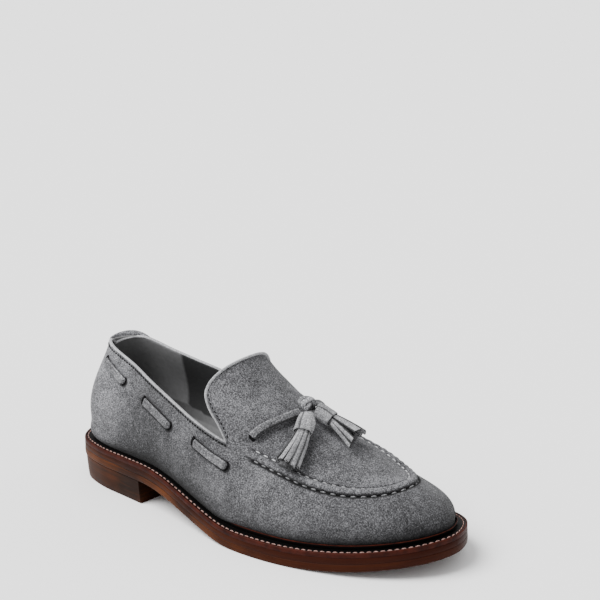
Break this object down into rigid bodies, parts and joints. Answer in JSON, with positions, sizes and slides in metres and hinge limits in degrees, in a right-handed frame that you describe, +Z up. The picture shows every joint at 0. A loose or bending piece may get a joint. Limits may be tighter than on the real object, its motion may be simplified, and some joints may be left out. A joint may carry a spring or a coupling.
{
  "type": "tassel loafer",
  "caption": "Slip-on suede shoe with a raised apron seam, a lace threaded through its sides, knotted tassels and a welted leather sole with a stacked heel.",
  "frame": {"origin": "bottom centre of the box, on the floor under the middle of the sole", "axes": "+X to the toe, +Y to the inner side of the foot, +Z up"},
  "size_m": [0.2999, 0.1092, 0.1073],
  "materials": {
    "upper": "matte",
    "lace": "matte",
    "tassels": "matte",
    "insole": "matte",
    "welt": "satin",
    "midsole": "satin",
    "outsole": "satin",
    "heel": "satin"
  },
  "bodies": {
    "root": {"heel": "heel", "insole": "insole", "knot": "lace", "lace_bar_inner_1": "lace", "lace_bar_inner_2": "lace", "lace_bar_inner_3": "lace", "lace_bar_outer_1": "lace", "lace_bar_outer_2": "lace", "lace_bar_outer_3": "lace", "lace_end_inner": "lace", "lace_end_outer": "lace", "midsole": "midsole", "outsole": "outsole", "tassel_inner": "tassels", "tassel_outer": "tassels", "upper": "upper", "welt": "welt"}
  },
  "joints": []
}
